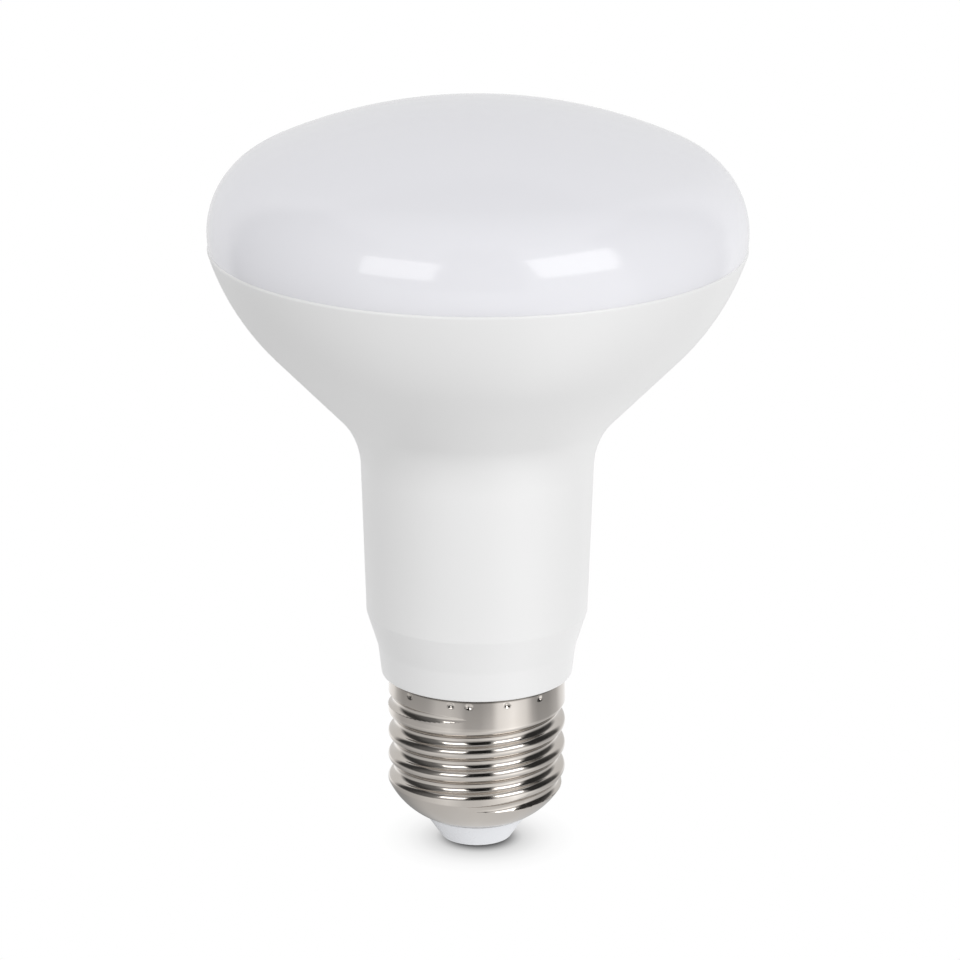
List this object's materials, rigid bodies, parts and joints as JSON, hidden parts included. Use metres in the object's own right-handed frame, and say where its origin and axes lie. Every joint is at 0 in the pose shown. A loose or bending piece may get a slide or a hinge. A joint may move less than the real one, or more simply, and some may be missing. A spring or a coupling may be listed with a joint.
{
  "type": "led spot bulb",
  "caption": "Reflector-shaped LED spot bulb: an opal domed diffuser on a flared white housing, with a nickel-plated E27 screw cap and a flat centre contact.",
  "frame": {"origin": "middle of the centre contact's flat underside, on the bulb's axis", "axes": "+Z along the bulb's axis from the contact up to the dome, -Y towards the picture's camera, +X to the right in the picture"},
  "size_m": [0.0784, 0.0784, 0.1119],
  "materials": {
    "opal_diffuser": "glossy opal acrylic",
    "white_housing": "satin moulded white plastic",
    "nickel_shell": "bright nickel plate on rolled sheet",
    "white_insulator": "moulded white plastic",
    "contact_metal": "nickel plate, dulled"
  },
  "bodies": {
    "root": {"diffuser": "opal_diffuser", "housing": "white_housing", "screw_shell": "nickel_shell", "base_insulator": "white_insulator", "centre_contact": "contact_metal"}
  },
  "joints": []
}
